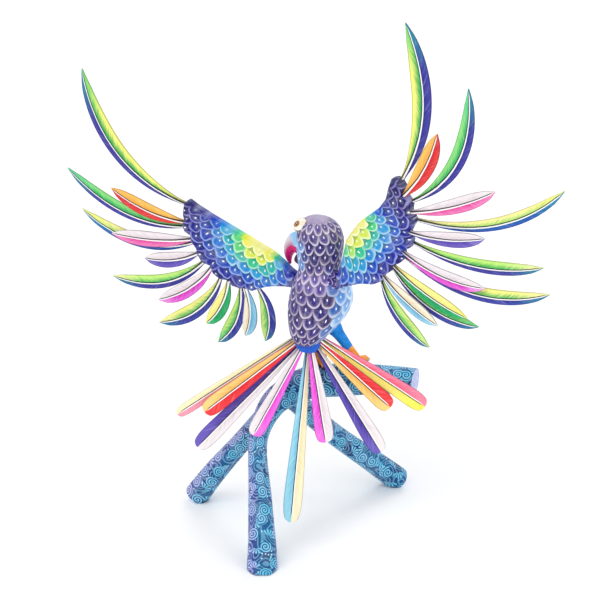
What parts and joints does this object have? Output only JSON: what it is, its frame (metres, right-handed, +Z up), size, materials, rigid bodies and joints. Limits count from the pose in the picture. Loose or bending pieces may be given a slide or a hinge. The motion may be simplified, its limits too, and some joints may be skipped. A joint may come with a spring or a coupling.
{
  "type": "parrot figurine",
  "caption": "Painted carved-wood parrot with spread plug-in wings of pegged curved feathers and a fanned paddle tail, perched on a three-legged branch.",
  "frame": {"origin": "centre of the bounding box on the plane that the feet rest on", "axes": "+Z up, the bird's back towards -Y, +X to the right of a viewer who sees its back"},
  "size_m": [0.3223, 0.2177, 0.3673],
  "materials": {
    "body_paint": "satin acrylic paint",
    "wing_paint": "satin acrylic paint",
    "long_feather_paint": "satin acrylic paint",
    "short_feather_paint": "satin acrylic paint",
    "tail_paint": "satin acrylic paint",
    "leg_paint": "satin acrylic paint",
    "bare_wood": "bare",
    "branch_paint": "satin acrylic paint"
  },
  "bodies": {
    "figure": {"body": "body_paint", "tail_1": "tail_paint", "tail_2": "tail_paint", "tail_3": "tail_paint", "tail_4": "tail_paint", "tail_5": "tail_paint", "tail_6": "tail_paint", "tail_7": "tail_paint", "tail_8": "tail_paint", "tail_9": "tail_paint", "left_leg": "leg_paint", "right_leg": "leg_paint", "left_leg_dowel": "bare_wood", "right_leg_dowel": "bare_wood", "perch_branch": "branch_paint", "left_root": "branch_paint", "right_root": "branch_paint"},
    "left_wing": {"left_wing": "wing_paint", "left_long_1": "long_feather_paint", "left_long_2": "long_feather_paint", "left_long_3": "long_feather_paint", "left_long_4": "long_feather_paint", "left_long_5": "long_feather_paint", "left_long_6": "long_feather_paint", "left_long_7": "long_feather_paint", "left_short_1": "short_feather_paint", "left_short_2": "short_feather_paint", "left_short_3": "short_feather_paint", "left_short_4": "short_feather_paint", "left_short_5": "short_feather_paint", "left_short_6": "short_feather_paint"},
    "right_wing": {"right_wing": "wing_paint", "right_long_1": "long_feather_paint", "right_long_2": "long_feather_paint", "right_long_3": "long_feather_paint", "right_long_4": "long_feather_paint", "right_long_5": "long_feather_paint", "right_long_6": "long_feather_paint", "right_long_7": "long_feather_paint", "right_short_1": "short_feather_paint", "right_short_2": "short_feather_paint", "right_short_3": "short_feather_paint", "right_short_4": "short_feather_paint", "right_short_5": "short_feather_paint", "right_short_6": "short_feather_paint"}
  },
  "joints": [
    {"name": "left_wing_pull", "type": "slide", "parent": "figure", "child": "left_wing", "axis": [-0.829, 0.5592, 0], "range_m": [0, 0.016]},
    {"name": "right_wing_pull", "type": "slide", "parent": "figure", "child": "right_wing", "axis": [0.829, -0.5592, 0], "range_m": [0, 0.016]}
  ]
}
